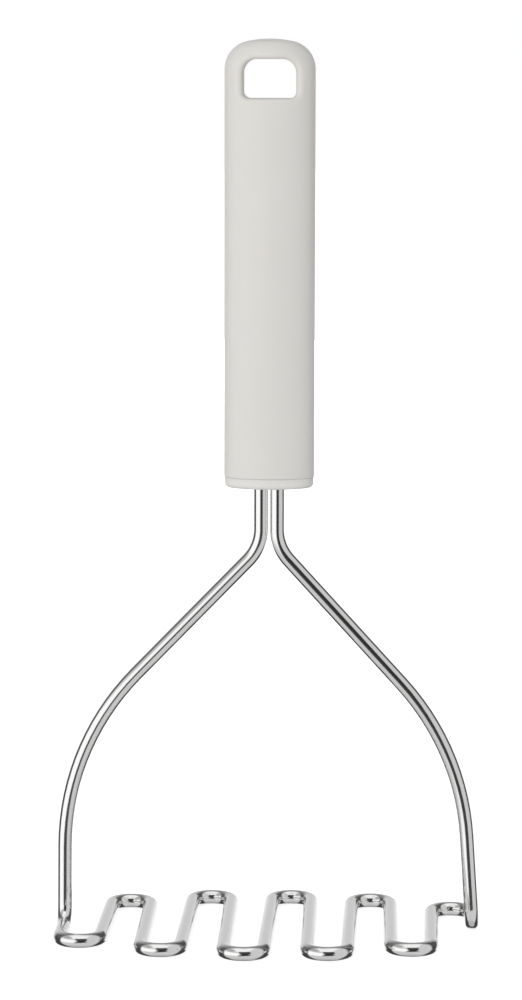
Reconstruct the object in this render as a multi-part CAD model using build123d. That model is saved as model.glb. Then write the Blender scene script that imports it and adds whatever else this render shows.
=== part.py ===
from build123d import *
import math
import os

# Potato masher. Millimetres, +Z up, X across the head, Y through its depth, front at -Y.
# The origin is under the middle of the mashing head, on the surface that the head rests on.

# Rod that makes the stems, the wishbone frame and the mashing head
rod_diameter = 4.0
stem_gap = 0.45
tang_depth = 61.8
tang_end_bevel = 0.5
notch_count = 2
notch_height = 3.0
notch_depth = 0.8
notch_first_height = 26.0
notch_step = 18.0

# Wishbone frame. Its corners are where the straight runs would meet without their bends.
# The real frame is sprung a little to one side at its shoulders, which frame_lean gives.
knee_height = 108.7
knee_radius = 12.5
shoulder_height = 52.5
shoulder_spacing = 110.3
shoulder_radius = 70.9
frame_lean = 1.55
foot_spacing = 114.1
elbow_radius = 5.5

# Mashing head: parallel runs joined by round bends, inside an oval outline
run_count = 11
head_depth = 70.9
head_oval_width = 132.1
bend_pinch = 0.2
crown_flat = 0.2

# Grip. stem_reach is how far above the knee corners it starts.
stem_reach = 16.7
grip_length = 122.7
grip_width = 24.8
grip_thickness = 15.0
grip_wall = 2.2
crown_radius = 29.5
crown_corner_radius = 7.7

# Hanging hole
hole_width = 14.4
hole_height = 10.6
hole_top_margin = 5.5
hole_top_radius = 3.7
hole_bottom_radius = 1.8
hole_edge_radius = 1.3
hole_floor = 3.0

# End cap
cap_height = 2.9
cap_inset = 0.2
cap_edge_radius = 1.3
seam_bevel = 0.18
spigot_length = 7.0
spigot_clearance = 0.1
slot_clearance = 0.1

# Core moulded round the stem ends inside the grip
core_width = 13.0
core_thickness = 8.0
core_corner_radius = 2.0
core_top_cover = 3.0
core_clearance = 0.15
rib_count = 5
rib_thickness = 2.0

# Length by which a cutter runs past what it cuts
overrun = 2.0

# Sizes that follow from the ones above
rod_radius = rod_diameter / 2
stem_offset = (stem_gap + rod_diameter) / 2
grip_bottom_height = knee_height + stem_reach
tang_top = grip_bottom_height + tang_depth
grip_top = grip_bottom_height + grip_length
seam_height = grip_bottom_height + cap_height
spigot_top = seam_height + spigot_length
hole_top = grip_top - hole_top_margin
hole_bottom = hole_top - hole_height
cavity_top = hole_bottom - hole_floor
run_pitch = foot_spacing / (run_count - 1)


def bend_reach(middle):
    """Distance in Y from the head's long axis to the outermost centre line of a bend."""
    half_depth = head_depth / 2 - rod_radius
    half_width = head_oval_width / 2
    return half_depth * math.sqrt(1 - (middle / half_width) ** 2)


def side_corners(side):
    """Corners of one leg of the rod, from the stem's end down to the elbow."""
    return [
        (side * stem_offset, 0, tang_top),
        (side * stem_offset, 0, knee_height),
        (side * shoulder_spacing / 2 - frame_lean, 0, shoulder_height),
        (side * foot_spacing / 2, 0, rod_radius),
    ]


def head_corners():
    """Corners of the mashing head, from its left foot to its right foot, front bend first."""
    corners = []
    for bend in range(run_count - 1):
        left = bend * run_pitch - foot_spacing / 2
        right = left + run_pitch
        side = -1 if bend % 2 == 0 else 1
        reach = side * bend_reach((left + right) / 2)
        corners.append((left + bend_pinch, reach, rod_radius))
        corners.append((right - bend_pinch, reach, rod_radius))
    return corners


def rod_path():
    """Centre line of the whole rod: straight runs joined by tangent arcs."""
    left = side_corners(-1)
    right = side_corners(1)
    corners = left + head_corners() + right[::-1]
    bend_radius = (run_pitch - crown_flat) / 2 - bend_pinch
    side_radii = [knee_radius, shoulder_radius, elbow_radius]
    radii = side_radii + [bend_radius] * (2 * (run_count - 1)) + side_radii[::-1]
    return FilletPolyline(*corners, radius=radii)


def notch_cutters():
    """Blocks that cut the anchor notches in the outer side of each stem end."""
    cutters = []
    for side in (-1, 1):
        outer_x = side * (stem_offset + rod_radius)
        for index in range(notch_count):
            height = grip_bottom_height + notch_first_height + index * notch_step
            block = Box(2 * notch_depth, rod_diameter + overrun, notch_height)
            cutters.append(Pos(outer_x, 0, height) * block)
    return cutters


def make_rod():
    """The one bent rod, with bevelled ends and notches that the core locks into."""
    path = rod_path()
    section = Plane(origin=path @ 0, z_dir=path % 0) * Circle(rod_radius)
    rod = sweep(section, path=path)
    ends = rod.edges().filter_by(GeomType.CIRCLE).group_by(Axis.Z)[-1]
    rod = chamfer(ends, length=tang_end_bevel)
    for cutter in notch_cutters():
        rod -= cutter
    print("rod length", round(path.length, 2), "volume", round(rod.volume, 1))
    print("section times length", round(math.pi * rod_radius**2 * path.length, 1))
    return rod


def grip_body():
    """Outer form of the grip: an oval bar with a domed top."""
    half_width = grip_width / 2
    corner_x = half_width - crown_corner_radius
    drop = math.sqrt((crown_radius - crown_corner_radius) ** 2 - corner_x**2)
    corner_z = grip_top - crown_radius + drop
    lean = math.atan2(corner_x, drop)
    crown_end = (crown_radius * math.sin(lean), grip_top - crown_radius * (1 - math.cos(lean)))
    crown = RadiusArc((0, grip_top), crown_end, crown_radius)
    corner = RadiusArc(crown_end, (half_width, corner_z), crown_corner_radius)
    side = Polyline((half_width, corner_z), (half_width, seam_height), (0, seam_height), (0, grip_top))
    outline = Plane.XZ * make_face([crown, corner, side])
    return scale(revolve(outline, axis=Axis.Z), by=(1, grip_thickness / grip_width, 1))


def hole_cutter():
    """Bar with the hanging hole's outline, which runs past both faces of the grip."""
    outline = Rectangle(hole_width, hole_height)
    outline = fillet(outline.vertices().group_by(Axis.Y)[-1], radius=hole_top_radius)
    outline = fillet(outline.vertices().group_by(Axis.Y)[0], radius=hole_bottom_radius)
    middle = Plane(origin=(0, 0, (hole_top + hole_bottom) / 2), x_dir=(1, 0, 0), z_dir=(0, -1, 0))
    return extrude(middle * outline, amount=grip_thickness, both=True)


def oval(inset, clearance=0.0):
    """Oval section of the grip, drawn in from its outer surface."""
    return Ellipse(grip_width / 2 - inset - clearance, grip_thickness / 2 - inset - clearance)


def oval_bar(inset, clearance, bottom, height):
    """Upright oval bar, drawn in from the grip's outer surface."""
    return extrude(Pos(0, 0, bottom) * oval(inset, clearance), amount=height)


def hole_mouth_edges(shell):
    """Edges round both mouths of the hanging hole."""
    reach = hole_edge_radius
    edges = []
    for edge in shell.edges():
        middle = edge.center()
        beside = abs(middle.X) < hole_width / 2 + reach
        level = hole_bottom - reach < middle.Z < hole_top + reach
        outside = abs(middle.Y) > grip_thickness / 2 - grip_wall
        if beside and level and outside:
            edges.append(edge)
    return edges


def make_shell():
    """Hollow grip, open at the bottom, with a rounded hanging hole and a bevelled rim."""
    shell = grip_body()
    shell = chamfer(shell.edges().group_by(Axis.Z)[0], length=seam_bevel)
    shell -= hole_cutter()
    shell = fillet(hole_mouth_edges(shell), radius=hole_edge_radius)
    shell -= oval_bar(grip_wall, 0, seam_height - overrun, cavity_top - seam_height + overrun)
    return shell


def make_cap():
    """Rim under the grip, with a spigot that plugs the hollow and a slot for the two stems."""
    cap = oval_bar(cap_inset, 0, grip_bottom_height, cap_height)
    cap = fillet(cap.edges().group_by(Axis.Z)[0], radius=cap_edge_radius)
    cap = chamfer(cap.edges().group_by(Axis.Z)[-1], length=seam_bevel)
    cap += oval_bar(grip_wall, spigot_clearance, seam_height, spigot_length)
    slot = SlotCenterToCenter(2 * stem_offset, rod_diameter + 2 * slot_clearance)
    slot = Pos(0, 0, grip_bottom_height - overrun) * slot
    cap -= extrude(slot, amount=cap_height + spigot_length + 2 * overrun)
    return cap


def make_core(rod):
    """Ribbed core moulded round the stem ends, a close fit in the hollow of the grip."""
    height = tang_top + core_top_cover - spigot_top
    spine = RectangleRounded(core_width, core_thickness, core_corner_radius)
    core = extrude(Pos(0, 0, spigot_top) * spine, amount=height)
    for index in range(rib_count):
        bottom = spigot_top + index * (height - rib_thickness) / (rib_count - 1)
        core += oval_bar(grip_wall, core_clearance, bottom, rib_thickness)
    return core - rod


def write_part(name, solid):
    """Write one sub-part under its own name."""
    export_step(solid, "parts/" + name + ".step")
    box = solid.bounding_box()
    print(name, "volume", round(solid.volume, 1), "size", box.size)


os.makedirs("parts", exist_ok=True)
masher_wire = make_rod()
write_part("masher_wire", masher_wire)
write_part("handle_shell", make_shell())
write_part("end_cap", make_cap())
write_part("tang_core", make_core(masher_wire))
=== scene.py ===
# %% [markdown]
# # A potato masher, dressed for its picture
# The tool has two things to look at: a bent rod of polished steel and a satin plastic grip. The
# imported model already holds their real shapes, so this lesson gives them their finishes, remakes
# the rod as a smooth tube whose surface knows which way it was drawn, and lights the result.

# %% Load the model as a fixed frame
import math
import bpy
import bmesh
from mathutils import Matrix, Vector


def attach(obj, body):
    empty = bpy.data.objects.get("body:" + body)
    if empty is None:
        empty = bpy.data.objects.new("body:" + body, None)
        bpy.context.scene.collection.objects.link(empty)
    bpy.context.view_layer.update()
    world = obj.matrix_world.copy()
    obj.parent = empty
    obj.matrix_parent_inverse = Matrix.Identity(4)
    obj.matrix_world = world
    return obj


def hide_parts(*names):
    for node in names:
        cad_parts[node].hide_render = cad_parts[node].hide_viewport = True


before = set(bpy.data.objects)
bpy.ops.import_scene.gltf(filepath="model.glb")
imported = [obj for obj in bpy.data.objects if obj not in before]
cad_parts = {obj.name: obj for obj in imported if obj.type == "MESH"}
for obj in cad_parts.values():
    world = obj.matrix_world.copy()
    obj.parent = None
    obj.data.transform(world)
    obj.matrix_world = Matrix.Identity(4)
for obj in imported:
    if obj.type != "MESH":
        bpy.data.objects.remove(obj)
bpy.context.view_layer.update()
MM = 0.001
scene = bpy.context.scene
scene.view_settings.view_transform = "Standard"
print("pieces in the model:", sorted(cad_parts))

# %% [markdown]
# ## Where the camera stands
# The picture is taken from a metre away, a little above the tool and a little to its right, with
# a long lens that keeps the two legs of the frame nearly parallel. A camera could be moved about
# by hand until the view looks right. Here it is placed by the point that it is aimed at, a
# compass angle and a height angle, because each of these can be set without upsetting the others.

# %% Camera
camera_distance = 1000 * MM
camera_compass = 2.17
camera_height = 7.226
camera_roll = 0.125
camera_target = Vector((-2.24 * MM, 0, 121.8 * MM))
picture_height = 1000
focal_pixels = 3624.5
sensor_size_mm = 36.0
farthest_seen = 50.0


def way_towards(compass_degrees, height_degrees):
    compass_angle = math.radians(compass_degrees)
    height_angle = math.radians(height_degrees)
    return Vector((
        math.sin(compass_angle) * math.cos(height_angle),
        -math.cos(compass_angle) * math.cos(height_angle),
        math.sin(height_angle),
    ))


# AUTO lays the sensor's width along the longer side of the picture, which is its height here.
camera_data = bpy.data.cameras.new("photo_camera")
camera_data.sensor_fit = "AUTO"
camera_data.sensor_width = sensor_size_mm
camera_data.lens = sensor_size_mm * focal_pixels / picture_height
camera_data.clip_end = farthest_seen
camera = bpy.data.objects.new("photo_camera", camera_data)
scene.collection.objects.link(camera)
sight_line = way_towards(camera_compass, camera_height)
camera_place = Matrix.Translation(camera_target + camera_distance * sight_line)
camera_turn = sight_line.to_track_quat("Z", "Y").to_matrix().to_4x4()
camera_tilt = Matrix.Rotation(math.radians(camera_roll), 4, "Z")
camera.matrix_world = camera_place @ camera_turn @ camera_tilt
scene.camera = camera
print("camera at", [round(v, 4) for v in camera.matrix_world.translation], "lens", camera_data.lens)

# %% [markdown]
# ## Small helpers for materials
# Every finish here is one Principled shader with a few procedural textures behind it. Numbers
# that hold for the whole surface go straight onto the shader's own sockets. Only what really
# varies over the surface, such as the grain, comes in through a node, and these helpers add such
# nodes in one line each.

# %% Material helpers
def new_material(name):
    material = bpy.data.materials.new(name)
    material.use_nodes = True
    print("new material:", name)
    return material, material.node_tree


def add_node(tree, kind, label):
    node = tree.nodes.new(kind)
    node.label = label
    return node


def noise(tree, label, coordinates, scale, detail):
    node = add_node(tree, "ShaderNodeTexNoise", label)
    node.inputs["Scale"].default_value = scale
    node.inputs["Detail"].default_value = detail
    tree.links.new(coordinates, node.inputs["Vector"])
    return node.outputs["Fac"]


def spread(tree, label, value, low, high):
    node = add_node(tree, "ShaderNodeMapRange", label)
    node.inputs["To Min"].default_value = low
    node.inputs["To Max"].default_value = high
    tree.links.new(value, node.inputs["Value"])
    return node.outputs["Result"]


def bump(tree, label, height, strength, distance, before=None):
    node = add_node(tree, "ShaderNodeBump", label)
    node.inputs["Strength"].default_value = strength
    node.inputs["Distance"].default_value = distance
    tree.links.new(height, node.inputs["Height"])
    if before is not None:
        tree.links.new(before, node.inputs["Normal"])
    return node.outputs["Normal"]

# %% [markdown]
# ## The satin plastic of the grip
# The grip is moulded in a warm light grey plastic. The mould was etched, so the surface has a
# very fine grain that breaks its gloss without hiding it, and a slow waviness where the plastic
# shrank as it cooled. A scanned picture could give both, but it would stretch round the edges.
# Two noises of very different scale, laid through the solid piece, make them without a seam. The
# colour drifts by a percent or two, which keeps it from looking like paint, and a little light
# travels inside the plastic, which softens the edges of the hanging hole.

# %% Satin plastic
grain_per_metre = 5200
grain_detail = 3
grain_strength = 0.25
grain_depth = 0.01 * MM
flow_per_metre = 60
flow_detail = 2
flow_strength = 0.15
flow_depth = 0.05 * MM
colour_drift = 0.015
gloss_drift = 0.05
plastic_refraction = 1.52
plastic_shine = 0.45
inner_light = 0.35
inner_light_by_colour = (1.0, 0.93, 0.82)
inner_light_reach = 1.6 * MM


def satin_plastic(name, colour, roughness):
    material, tree = new_material(name)
    shader = tree.nodes["Principled BSDF"]
    place = add_node(tree, "ShaderNodeTexCoord", "place on the piece").outputs["Object"]
    grain = noise(tree, "etched grain", place, grain_per_metre, grain_detail)
    flow = noise(tree, "slow flow", place, flow_per_metre, flow_detail)
    tint = add_node(tree, "ShaderNodeMix", "colour drift")
    tint.data_type = "RGBA"
    tint.inputs["A"].default_value = (*[(1 - colour_drift) * part for part in colour], 1)
    tint.inputs["B"].default_value = (*[(1 + colour_drift) * part for part in colour], 1)
    tree.links.new(flow, tint.inputs["Factor"])
    tree.links.new(tint.outputs["Result"], shader.inputs["Base Color"])
    gloss = spread(tree, "gloss drift", grain, roughness - gloss_drift, roughness + gloss_drift)
    tree.links.new(gloss, shader.inputs["Roughness"])
    wavy = bump(tree, "slow waviness", flow, flow_strength, flow_depth)
    grainy = bump(tree, "fine grain", grain, grain_strength, grain_depth, wavy)
    tree.links.new(grainy, shader.inputs["Normal"])
    shader.inputs["IOR"].default_value = plastic_refraction
    shader.inputs["Specular IOR Level"].default_value = plastic_shine
    shader.inputs["Subsurface Weight"].default_value = inner_light
    shader.inputs["Subsurface Radius"].default_value = inner_light_by_colour
    shader.inputs["Subsurface Scale"].default_value = inner_light_reach
    return material

# %% [markdown]
# ## Grip, cap and core
# The cap under the seam comes from a mould of its own, and is a touch paler and glossier than the
# grip. The core round the stem ends is hidden, so it is left duller. The solids of all three are
# already right, so they keep their own meshes and only change their materials.

# %% Dress the three plastic pieces
grip_plastic = satin_plastic("grip_plastic", colour=(0.715, 0.699, 0.670), roughness=0.46)
cap_plastic = satin_plastic("cap_plastic", colour=(0.742, 0.735, 0.715), roughness=0.44)
core_plastic = satin_plastic("core_plastic", colour=(0.52, 0.52, 0.50), roughness=0.55)
plastic_pieces = (
    ("handle_shell", grip_plastic),
    ("end_cap", cap_plastic),
    ("tang_core", core_plastic),
)
for node_name, plastic in plastic_pieces:
    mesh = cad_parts[node_name].data
    mesh.materials.clear()
    mesh.materials.append(plastic)
    print(node_name, "has", len(mesh.polygons), "faces and wears", plastic.name)

# %% [markdown]
# ## The polished steel of the rod
# Stainless rod is drawn through a die and then tumbled or electropolished. What is left is a
# mirror with faint lines along its length. They could be scratched into the mesh, but are far too
# fine for that. Here they are a noise stretched in the direction of drawing, so the texture needs
# to know where along and around the rod it is. A UV map made with the tube gives that: U runs
# along the rod in metres and V once round it.

# %% Polished steel
steel_colour = (0.9, 0.9, 0.895, 1)
lines_per_metre = 25
lines_round_the_rod = 90
line_detail = 3
line_strength = 0.05
line_depth = 0.004 * MM
finest_polish = 0.1
coarsest_polish = 0.16


def drawn_steel(name):
    material, tree = new_material(name)
    shader = tree.nodes["Principled BSDF"]
    shader.inputs["Metallic"].default_value = 1.0
    shader.inputs["Base Color"].default_value = steel_colour
    rod_uv = add_node(tree, "ShaderNodeUVMap", "along and round the rod")
    rod_uv.uv_map = "rod_uv"
    stretch = add_node(tree, "ShaderNodeMapping", "stretch along the rod")
    stretch.inputs["Scale"].default_value = (lines_per_metre, lines_round_the_rod, 1)
    tree.links.new(rod_uv.outputs["UV"], stretch.inputs["Vector"])
    lines = noise(tree, "drawing lines", stretch.outputs["Vector"], scale=1.0, detail=line_detail)
    polish = spread(tree, "polish", lines, finest_polish, coarsest_polish)
    tree.links.new(polish, shader.inputs["Roughness"])
    faint_lines = bump(tree, "faint lines", lines, line_strength, line_depth)
    tree.links.new(faint_lines, shader.inputs["Normal"])
    return material


polished_steel = drawn_steel("polished_steel")
print("lines on the steel:", lines_round_the_rod, "round the rod,", lines_per_metre, "to a metre")

# %% [markdown]
# ## The sizes of the rod
# On the bench this is a metre of rod with bends put into it one by one: two stems, two legs and
# a head of parallel runs. These are the same sizes as in the model, so that the smooth tube lies
# exactly where the solid rod does. The pitch of the runs and the radius of the round bends of the
# head follow from the others.

# %% Sizes of the rod
rod_radius = 2.0 * MM
stem_offset = 2.225 * MM
tang_top = 187.2 * MM
tang_end_bevel = 0.5 * MM
knee_height = 108.7 * MM
knee_radius = 12.5 * MM
shoulder_height = 52.5 * MM
shoulder_half_spacing = 55.15 * MM
shoulder_radius = 70.9 * MM
frame_lean = 1.55 * MM
foot_half_spacing = 57.05 * MM
elbow_radius = 5.5 * MM
bend_count = 10
head_half_depth = 33.45 * MM
head_oval_half_width = 66.05 * MM
bend_pinch = 0.2 * MM
crown_flat = 0.2 * MM
run_pitch = 2 * foot_half_spacing / bend_count
bend_radius = (run_pitch - crown_flat) / 2 - bend_pinch
print("runs", round(run_pitch / MM, 2), "mm apart, bend radius", round(bend_radius / MM, 2), "mm")

# %% [markdown]
# ## Corners of the rod
# A bent rod is easiest to describe by the corners where its straight runs would meet, each with
# the radius of its bend. A leg has three: knee, shoulder and elbow. The head has two for each
# bend, by turns at the front and at the rear, and they lie on an oval, so that the runs are long
# in the middle and short at the sides.

# %% Corners of the centre line
def leg_corners(side):
    return [
        Vector((side * stem_offset, 0, tang_top)),
        Vector((side * stem_offset, 0, knee_height)),
        Vector((side * shoulder_half_spacing - frame_lean, 0, shoulder_height)),
        Vector((side * foot_half_spacing, 0, rod_radius)),
    ]


def zigzag_corners():
    corners = []
    for bend in range(bend_count):
        left = bend * run_pitch - foot_half_spacing
        right = left + run_pitch
        middle_share = (left + right) / 2 / head_oval_half_width
        depth = head_half_depth * math.sqrt(1 - middle_share**2)
        front_or_rear = -1 if bend % 2 == 0 else 1
        corners.append(Vector((left + bend_pinch, front_or_rear * depth, rod_radius)))
        corners.append(Vector((right - bend_pinch, front_or_rear * depth, rod_radius)))
    return corners


leg_radii = [knee_radius, shoulder_radius, elbow_radius]
rod_corners = leg_corners(-1) + zigzag_corners() + leg_corners(1)[::-1]
rod_bends = leg_radii + [bend_radius] * (2 * bend_count) + leg_radii[::-1]
print("the rod has", len(rod_bends), "bends between its two ends")

# %% [markdown]
# ## From corners to a centre line
# A bend of a given radius touches both of its straight runs. Half of the angle between the runs
# gives how far from the corner it touches, and where its middle lies. A curve object could follow
# the corners too, but its bends would only be near to arcs. A mirror shows every facet, so the
# arcs get a point every few degrees.

# %% Centre line
degrees_per_ring = 3.0
straight_step = 2.5 * MM


def arc_points(before, corner, after, radius):
    to_before = (before - corner).normalized()
    to_after = (after - corner).normalized()
    half_angle = to_before.angle(to_after) / 2
    start = corner + to_before * (radius / math.tan(half_angle))
    middle = corner + (to_before + to_after).normalized() * (radius / math.sin(half_angle))
    axis = to_after.cross(to_before).normalized()
    turn = math.pi - 2 * half_angle
    count = math.ceil(math.degrees(turn) / degrees_per_ring)
    arm = start - middle
    return [middle + Matrix.Rotation(turn * i / count, 3, axis) @ arm for i in range(count + 1)]


def add_straight(points, end):
    start = points[-1]
    count = math.ceil((end - start).length / straight_step)
    points.extend(start.lerp(end, i / count) for i in range(1, count + 1))


def centre_line(corners, radii):
    points = [corners[0]]
    for index, radius in enumerate(radii):
        bend = arc_points(corners[index], corners[index + 1], corners[index + 2], radius)
        add_straight(points, bend[0])
        points.extend(bend[1:])
    add_straight(points, corners[-1])
    return points


def distances_along(points):
    distances = [0]
    for before, point in zip(points, points[1:]):
        distances.append(distances[-1] + (point - before).length)
    return distances


rod_line = centre_line(rod_corners, rod_bends)
rod_length = distances_along(rod_line)[-1]
print("centre line:", len(rod_line), "points,", round(rod_length / MM), "mm long")

# %% [markdown]
# ## Bevelled ends
# The sawn ends of the rod, hidden in the grip, are bevelled as a deburring wheel would leave
# them. A modifier could bevel them, but two more points on the line do it as well: the rod has
# its full radius at a bevel's length from each end, and a smaller one at the end itself.

# %% Points and radii of the tube
def with_bevel_points(points, bevel):
    first = points[0].lerp(points[1], bevel / (points[1] - points[0]).length)
    last = points[-1].lerp(points[-2], bevel / (points[-2] - points[-1]).length)
    return [points[0], first, *points[1:-1], last, points[-1]]


tube_line = with_bevel_points(rod_line, tang_end_bevel)
tube_radii = [rod_radius] * len(tube_line)
tube_radii[0] = tube_radii[-1] = rod_radius - tang_end_bevel
print("tube line:", len(tube_line), "points, end radius", round(tube_radii[0] / MM, 2), "mm")

# %% [markdown]
# ## Rings along the line
# Each ring of points stands square to the line. Turning the last ring by just the angle between
# two steps carries it round the bends with no twist, so the drawing lines stay on their side of
# the rod. A curve object with a round bevel makes rings too, but its map isn't measured in metres.

# %% Rings
ring_points = 40
first_side = Vector((1, 0, 0))


def directions_along(points):
    steps = [(b - a).normalized() for a, b in zip(points, points[1:])]
    middle = [(a + b).normalized() for a, b in zip(steps, steps[1:])]
    return [steps[0]] + middle + [steps[-1]]


def ring_round(centre, direction, side, radius):
    up = direction.cross(side)
    ring = []
    for step in range(ring_points):
        angle = 2 * math.pi * step / ring_points
        ring.append(centre + radius * (math.cos(angle) * side + math.sin(angle) * up))
    return ring


def rings_along(points, radii):
    directions = directions_along(points)
    side = first_side
    rings = [ring_round(points[0], directions[0], side, radii[0])]
    for index in range(1, len(points)):
        side = directions[index - 1].rotation_difference(directions[index]) @ side
        rings.append(ring_round(points[index], directions[index], side, radii[index]))
    return rings


rod_rings = rings_along(tube_line, tube_radii)
print(len(rod_rings), "rings of", ring_points, "points")

# %% [markdown]
# ## A skin over the rings
# Four neighbouring points of two rings make a face, and each face also gets its place on the UV
# map: how far along the rod it lies and how far round. The last face of a ring ends at 1 and not
# back at 0, or the lines would be squeezed into one narrow strip there. A flat face closes each
# end.

# %% Skin
def skin_over(name, rings, distances):
    work = bmesh.new()
    uv_layer = work.loops.layers.uv.new("rod_uv")
    corners = [[work.verts.new(spot) for spot in ring] for ring in rings]
    for index in range(len(rings) - 1):
        here, ahead = corners[index], corners[index + 1]
        from_here, from_ahead = distances[index], distances[index + 1]
        for step in range(ring_points):
            beside = (step + 1) % ring_points
            face = work.faces.new((here[step], here[beside], ahead[beside], ahead[step]))
            face.smooth = True
            spots = (
                (from_here, step), (from_here, step + 1),
                (from_ahead, step + 1), (from_ahead, step),
            )
            for loop, (along, around) in zip(face.loops, spots):
                loop[uv_layer].uv = (along, around / ring_points)
    work.faces.new(corners[0][::-1])
    work.faces.new(corners[-1])
    bmesh.ops.recalc_face_normals(work, faces=work.faces)
    mesh = bpy.data.meshes.new(name)
    work.to_mesh(mesh)
    work.free()
    return mesh


rod_mesh = skin_over("polished_rod", rod_rings, distances_along(tube_line))
rod_mesh.materials.append(polished_steel)
print("rod mesh:", len(rod_mesh.polygons), "faces")

# %% [markdown]
# ## The rod takes its place
# The smooth tube rides where the solid rod did and is shown in its stead. The solid one stays in
# the model for touching and weighing, where facets do no harm.

# %% Polished rod
polished_rod = bpy.data.objects.new("polished_rod", rod_mesh)
scene.collection.objects.link(polished_rod)
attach(polished_rod, "root")
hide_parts("masher_wire")
print("rod takes up", [round(side / MM, 1) for side in polished_rod.dimensions], "mm")

# %% [markdown]
# ## A pale floor
# The tool stands on its mashing head on a pale sheet that runs out of sight. With nothing but
# white round it, it would seem to float. The sheet keeps the soft shadow of the rod, and a little
# brightness of its own, for the camera alone, turns the rest of it the clean white of the backdrop.

# %% Floor
floor_size = 12.0
floor_squares = 8
floor_colour = (0.86, 0.86, 0.86, 1)
floor_roughness = 0.9
floor_shine = 0.0
floor_lift = 0.62
floor_lift_colour = (1, 1, 1, 1)

floor_mesh = bpy.data.meshes.new("floor")
floor_work = bmesh.new()
bmesh.ops.create_grid(
    floor_work, x_segments=floor_squares, y_segments=floor_squares, size=floor_size / 2
)
floor_work.to_mesh(floor_mesh)
floor_work.free()
floor = bpy.data.objects.new("floor", floor_mesh)
scene.collection.objects.link(floor)
floor_material, floor_tree = new_material("floor_paper")
floor_shader = floor_tree.nodes["Principled BSDF"]
floor_shader.inputs["Base Color"].default_value = floor_colour
floor_shader.inputs["Roughness"].default_value = floor_roughness
floor_shader.inputs["Specular IOR Level"].default_value = floor_shine
floor_shader.inputs["Emission Color"].default_value = floor_lift_colour
floor_path = add_node(floor_tree, "ShaderNodeLightPath", "who looks")
floor_glow = add_node(floor_tree, "ShaderNodeMath", "lift for the camera")
floor_glow.operation = "MULTIPLY"
floor_glow.inputs[1].default_value = floor_lift
floor_tree.links.new(floor_path.outputs["Is Camera Ray"], floor_glow.inputs[0])
floor_tree.links.new(floor_glow.outputs["Value"], floor_shader.inputs["Emission Strength"])
floor_mesh.materials.append(floor_material)
floor.visible_glossy = False
print("floor", floor_size, "m wide")

# %% [markdown]
# ## What the steel sees
# A mirror has no colour of its own: polished rod looks like steel because of what stands round
# it. A studio puts up panels and cloths for that, and so could a scene. Here the world itself is
# painted, as a light grey room with soft panels that only reflections see, which needs no meshes
# and keeps the panels out of the picture. A place in the room is given by two angles: the
# compass angle, which is 0 straight ahead of the tool and grows to its right, and the height
# above the horizon. The rear has a compass of its own, which is 0 straight behind.

# %% Directions in the room
world = bpy.data.worlds.new("studio")
scene.world = world
world.use_nodes = True
sky = world.node_tree
sky.nodes.clear()


def plug(value, socket):
    if isinstance(value, (int, float)):
        socket.default_value = value
    else:
        sky.links.new(value, socket)


def calc(operation, *values):
    node = add_node(sky, "ShaderNodeMath", operation.lower())
    node.operation = operation
    for socket, value in zip(node.inputs, values):
        plug(value, socket)
    return node.outputs["Value"]


direction = add_node(sky, "ShaderNodeTexCoord", "direction").outputs["Generated"]
parts = add_node(sky, "ShaderNodeSeparateXYZ", "direction parts")
sky.links.new(direction, parts.inputs["Vector"])
to_right, to_rear, to_top = (parts.outputs[axis] for axis in "XYZ")
compass = calc("DEGREES", calc("ARCTAN2", to_right, calc("MULTIPLY", to_rear, -1)))
rear_compass = calc("DEGREES", calc("ARCTAN2", to_right, to_rear))
height = calc("DEGREES", calc("ARCSINE", to_top))
print("nodes for the directions:", len(sky.nodes))

# %% [markdown]
# ## Soft panels
# A panel is a grey level and a mask, and each is laid over what was there before. A mask rises
# smoothly from 0 to 1 over an edge, which is a pair of angles, like the edge of a softbox seen in
# a curved mirror. A band has two such edges, and where masks overlap they are multiplied. The
# first panel is the ground: the room darkens well below the level, which shades the undersides of
# the bends.

# %% Masks, panels and the ground
room_grey = 0.64
ground_grey = 0.46
ground_edge = (-50, -85)


def rise(value, edge):
    node = add_node(sky, "ShaderNodeMapRange", "soft edge")
    node.interpolation_type = "SMOOTHSTEP"
    node.inputs["From Min"].default_value = edge[0]
    node.inputs["From Max"].default_value = edge[1]
    sky.links.new(value, node.inputs["Value"])
    return node.outputs["Result"]


def overlap(first, *others):
    mask = first
    for other in others:
        mask = calc("MULTIPLY", mask, other)
    return mask


def band(value, limits, soft):
    low, high = limits
    return overlap(rise(value, (low - soft, low + soft)), rise(value, (high + soft, high - soft)))


def lay_over(below, grey, mask, label):
    node = add_node(sky, "ShaderNodeMix", label)
    plug(mask, node.inputs["Factor"])
    plug(below, node.inputs["A"])
    plug(grey, node.inputs["B"])
    return node.outputs["Result"]


room = lay_over(room_grey, ground_grey, rise(height, ground_edge), "ground below")
print("the room's grey is", room_grey, "and", ground_grey, "at the ground")

# %% [markdown]
# ## Panels at the front
# The white panel on the left draws the white stripe down each leg. Above it hangs a grey one,
# darker than the room, which tones down the outer side of the left arm of the frame. The ceiling
# panel gives the bends their highlight. It is a strip overhead, so its sides are given by how far
# a direction points to the right, from -1 to 1, and not by an angle.

# %% Front panels
white_panel = 1.08
white_panel_left_edge = (-98, -82)
white_panel_right_edge = (-11, -19)
white_panel_heights = (-20, 23)
upper_left_grey = 0.42
upper_left_span = (-110, -45)
upper_left_span_soft = 10
upper_left_heights = (32, 62)
panel_height_soft = 6
ceiling_panel = 1.0
ceiling_sides = (-0.38, 0.38)
ceiling_sides_soft = 0.1
ceiling_edge = (34, 46)

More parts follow.
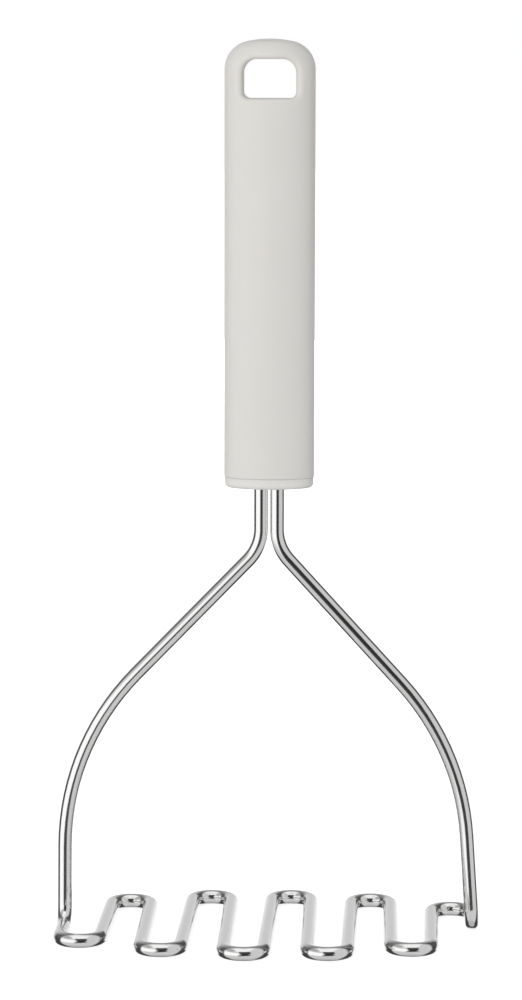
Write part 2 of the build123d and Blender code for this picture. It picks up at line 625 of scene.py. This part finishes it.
white_panel_sides = overlap(
    rise(compass, white_panel_left_edge), rise(compass, white_panel_right_edge)
)
white_panel_mask = overlap(
    white_panel_sides, band(height, white_panel_heights, panel_height_soft)
)
room = lay_over(room, white_panel, white_panel_mask, "white panel on the left")
upper_left_mask = overlap(
    band(compass, upper_left_span, upper_left_span_soft),
    band(height, upper_left_heights, panel_height_soft),
)
room = lay_over(room, upper_left_grey, upper_left_mask, "grey above it")
ceiling_mask = overlap(
    band(to_right, ceiling_sides, ceiling_sides_soft), rise(height, ceiling_edge)
)
room = lay_over(room, ceiling_panel, ceiling_mask, "ceiling panel")
print("panels at the front:", white_panel, upper_left_grey, ceiling_panel)

# %% [markdown]
# ## The dark gap ahead
# The unlit space straight ahead, where the camera stands, is what makes the steel look hard: it
# draws the dark line along the stems and the arms, and the dark spot in each bend of the head. It
# is narrowest at the level and widens above and below it, more to the right than to the left, and
# it is a little paler near its top. Its edges are sharper than those of the panels, because a hard
# edge is what tells polished metal from satin.

# %% Dark gap
gap_dark = 0.026
gap_top_grey = 0.07
gap_top_edge = (12, 30)
gap_left_edge = (-9, -4)
gap_left_widening = 0.3
gap_right_edge = (26, 21)
gap_right_widening = 0.7
gap_right_limit = (36, 30)
gap_upper_end = (50, 42)
gap_lower_end = (-17, -11)

off_level = calc("ABSOLUTE", height)
widened_left = calc("ADD", compass, calc("MULTIPLY", off_level, gap_left_widening))
widened_right = calc("SUBTRACT", compass, calc("MULTIPLY", off_level, gap_right_widening))
gap_right = overlap(rise(widened_right, gap_right_edge), rise(compass, gap_right_limit))
gap_sides = overlap(rise(widened_left, gap_left_edge), gap_right)
gap_ends = overlap(rise(height, gap_upper_end), rise(height, gap_lower_end))
gap_grey = lay_over(gap_dark, gap_top_grey, rise(height, gap_top_edge), "paler near its top")
room = lay_over(room, gap_grey, overlap(gap_sides, gap_ends), "dark gap ahead")
print("dark gap:", gap_dark, "and", gap_top_grey, "near its top")

# %% [markdown]
# ## The foot of the gap
# Below, the gap ends in a low dark foot that reaches further to both sides and rises a little to
# the right. Upright rod seen from above mirrors what lies below the level, so most of the dark
# line in the lower legs is this foot.

# %% Foot of the gap
gap_foot_grey = 0.05
foot_tilt = 0.17
foot_heights = (-21, -9)
foot_heights_soft = 2
foot_span = (-19, 30)
foot_span_soft = 5

tilted_height = calc("SUBTRACT", height, calc("MULTIPLY", compass, foot_tilt))
foot_mask = overlap(
    band(tilted_height, foot_heights, foot_heights_soft), band(compass, foot_span, foot_span_soft)
)
room = lay_over(room, gap_foot_grey, foot_mask, "foot of the gap")
print("foot of the gap:", gap_foot_grey)

# %% [markdown]
# ## The dark rear
# Behind the tool the room is dark, which draws the thin dark lines along both edges of the rod.
# The dark begins where a direction points back far enough, and a little further back high up, low
# down and to the right. How far it points back, up or to the right is a number from -1 to 1, which
# is easier to bend into such a border than the two angles are.

# %% Dark rear
rear_dark = 0.055
rear_left_grey = 0.1
rear_right_grey = 0.08
rear_left_to_right = (-0.6, 0.3)
high_rear_edge = (0, 18)
rear_edge = (-0.09, 0.09)
off_level_retreat = 0.36
right_retreat = 0.1

high_rear = lay_over(
    rear_left_grey, rear_right_grey, rise(to_right, rear_left_to_right), "high rear"
)
rear_grey = lay_over(rear_dark, high_rear, rise(height, high_rear_edge), "rear grey")
off_level_part = calc("MULTIPLY", calc("POWER", to_top, 2), off_level_retreat)
how_far_back = calc("SUBTRACT", to_rear, off_level_part)
how_far_back = calc("SUBTRACT", how_far_back, calc("MULTIPLY", to_right, right_retreat))
room = lay_over(room, rear_grey, rise(how_far_back, rear_edge), "dark rear")
print("rear:", rear_dark, "low,", rear_left_grey, "high left,", rear_right_grey, "high right")

# %% [markdown]
# ## Its low sides
# Low down at both sides the dark comes forward again. The lower edges of the arms and the lower
# corners of the bends mirror that part of the room, and are dark for that reason.

# %% Low sides
low_sides_edge = (0.3, 0.55)
low_sides_top = (-0.2, -0.45)
low_sides_front = (-0.02, 0.12)

low_sides_mask = overlap(
    rise(calc("ABSOLUTE", to_right), low_sides_edge),
    rise(to_top, low_sides_top),
    rise(to_rear, low_sides_front),
)
room = lay_over(room, rear_grey, low_sides_mask, "dark low sides")
print("the dark low sides begin where a direction points", low_sides_edge[0], "to the side")

# %% [markdown]
# ## Paler panels above the rear
# High up behind the tool the dark gives way to a paler grey and then to a white strip of ceiling.
# The upper sides of the bends mirror them, one behind the other, as they turn away from the camera.

# %% Upper rear
upper_rear_grey = 0.24
upper_rear_span = (-56, 30)
upper_rear_span_soft = 10
upper_rear_heights = (26, 75)
zenith_panel = 0.95
zenith_sides = (-0.33, 0.33)
zenith_sides_soft = 0.08
zenith_edge = (60, 70)

upper_rear_mask = overlap(
    band(rear_compass, upper_rear_span, upper_rear_span_soft),
    band(height, upper_rear_heights, panel_height_soft),
)
room = lay_over(room, upper_rear_grey, upper_rear_mask, "paler rear above")
zenith_mask = overlap(band(to_right, zenith_sides, zenith_sides_soft), rise(height, zenith_edge))
room = lay_over(room, zenith_panel, zenith_mask, "ceiling behind")
print("upper rear:", upper_rear_grey, "and ceiling behind:", zenith_panel)

# %% [markdown]
# ## The backdrop's sweep
# Behind the tool the backdrop sweeps up out of the floor, as a roll of paper does in a studio,
# and gets greyer with height as it leaves the light. This upper part of it shades the tops of the
# bends.

# %% Sweep
sweep_grey = 0.62
sweep_top_grey = 0.22
sweep_fade = (16, 50)
sweep_span = (-40, 14)
sweep_span_soft = 8
sweep_heights = (14, 50)
sweep_heights_soft = 5

sweep = lay_over(sweep_grey, sweep_top_grey, rise(height, sweep_fade), "fading sweep")
sweep_mask = overlap(
    band(rear_compass, sweep_span, sweep_span_soft), band(height, sweep_heights, sweep_heights_soft)
)
room = lay_over(room, sweep, sweep_mask, "sweep above the opening")
print("the sweep fades from", sweep_grey, "to", sweep_top_grey)

# %% [markdown]
# ## The opening straight behind
# Lower down the dark rear has an opening, in which the backdrop goes on from the sweep's grey to
# white. The runs of the mashing head are seen nearly end on and mirror little else, so without it
# the head would be dark. A narrow foot of plain white runs on below it, and brightens the
# undersides of the bends.

# %% Opening
backdrop_white = 1.0
backdrop_fade = (16, -18)
opening_left_edge = (-59, -35)
opening_right_edge = (59, 35)
opening_lean = 1.2
leaning_right_edge = (54, 30)
opening_heights = (-25, 19)
opening_heights_soft = 2.5
opening_foot_span = (-16, 16)
opening_foot_heights = (-52, -20)
opening_foot_soft = 8

backdrop = lay_over(sweep_grey, backdrop_white, rise(height, backdrop_fade), "backdrop")
leaning_compass = calc("ADD", rear_compass, calc("MULTIPLY", height, opening_lean))
opening_right = overlap(
    rise(leaning_compass, leaning_right_edge), rise(rear_compass, opening_right_edge)
)
opening_sides = overlap(rise(rear_compass, opening_left_edge), opening_right)
opening_mask = overlap(opening_sides, band(height, opening_heights, opening_heights_soft))
room = lay_over(room, backdrop, opening_mask, "opening straight behind")
opening_foot_mask = overlap(
    band(rear_compass, opening_foot_span, opening_foot_soft),
    band(height, opening_foot_heights, opening_foot_soft),
)
room = lay_over(room, backdrop_white, opening_foot_mask, "its narrow foot")
print("the painted room has", len(sky.nodes), "nodes")

# %% [markdown]
# ## Three kinds of ray
# The room goes to rays that come from a mirror, plain white to rays from the camera, and even
# light to all others. One picture of a studio could serve all three, but then a change to a
# panel would change the light on the grip as well.

# %% World output
ambient_strength = 0.62
backdrop_strength = 1.0
white = (1, 1, 1, 1)


def sky_light(label, strength):
    node = add_node(sky, "ShaderNodeBackground", label)
    node.inputs["Color"].default_value = white
    plug(strength, node.inputs["Strength"])
    return node.outputs["Background"]


def switch_by_ray(label, is_such_a_ray, other_light, such_light):
    node = add_node(sky, "ShaderNodeMixShader", label)
    for socket, value in zip(node.inputs, (is_such_a_ray, other_light, such_light)):
        sky.links.new(value, socket)
    return node.outputs["Shader"]


rays = add_node(sky, "ShaderNodeLightPath", "who looks").outputs
even_light = sky_light("even light", ambient_strength)
mirror_light = sky_light("what mirrors see", room)
seen_light = sky_light("white backdrop", backdrop_strength)
for_mirrors = switch_by_ray("mirrors or not", rays["Is Glossy Ray"], even_light, mirror_light)
for_camera = switch_by_ray("camera or not", rays["Is Camera Ray"], for_mirrors, seen_light)
sky_output = add_node(sky, "ShaderNodeOutputWorld", "out")
sky.links.new(for_camera, sky_output.inputs["Surface"])
print("the world has", len(sky.nodes), "nodes and gives an even light of", ambient_strength)

# %% [markdown]
# ## Two soft lamps
# Even light alone would leave the grip flat. A large soft lamp, low in front and a little to the
# left, gives it form: the grip stays bright over most of its width and darkens at the right. A
# weaker one straight behind does the same for the rear of the grip, and adds nothing to the front.
# Neither shows in the steel, which has its own painted panels.

# %% Lamps
lamp_distance = 2.0
lamp_size = 1.2
tool_middle = Vector((0, 0, 130 * MM))


def soft_lamp(name, compass_degrees, height_degrees, power):
    lamp_data = bpy.data.lights.new(name, "AREA")
    lamp_data.shape = "SQUARE"
    lamp_data.size = lamp_size
    lamp_data.energy = power
    lamp = bpy.data.objects.new(name, lamp_data)
    lamp_way = way_towards(compass_degrees, height_degrees)
    lamp.location = tool_middle + lamp_distance * lamp_way
    lamp.rotation_euler = lamp_way.to_track_quat("Z", "Y").to_euler()
    lamp.visible_glossy = False
    lamp.visible_camera = False
    scene.collection.objects.link(lamp)
    print(name, "at", [round(v, 2) for v in lamp.location], "with", power, "W")


soft_lamp("key_lamp", compass_degrees=-22, height_degrees=12, power=17.1)
soft_lamp("rear_lamp", compass_degrees=180, height_degrees=6, power=9.0)
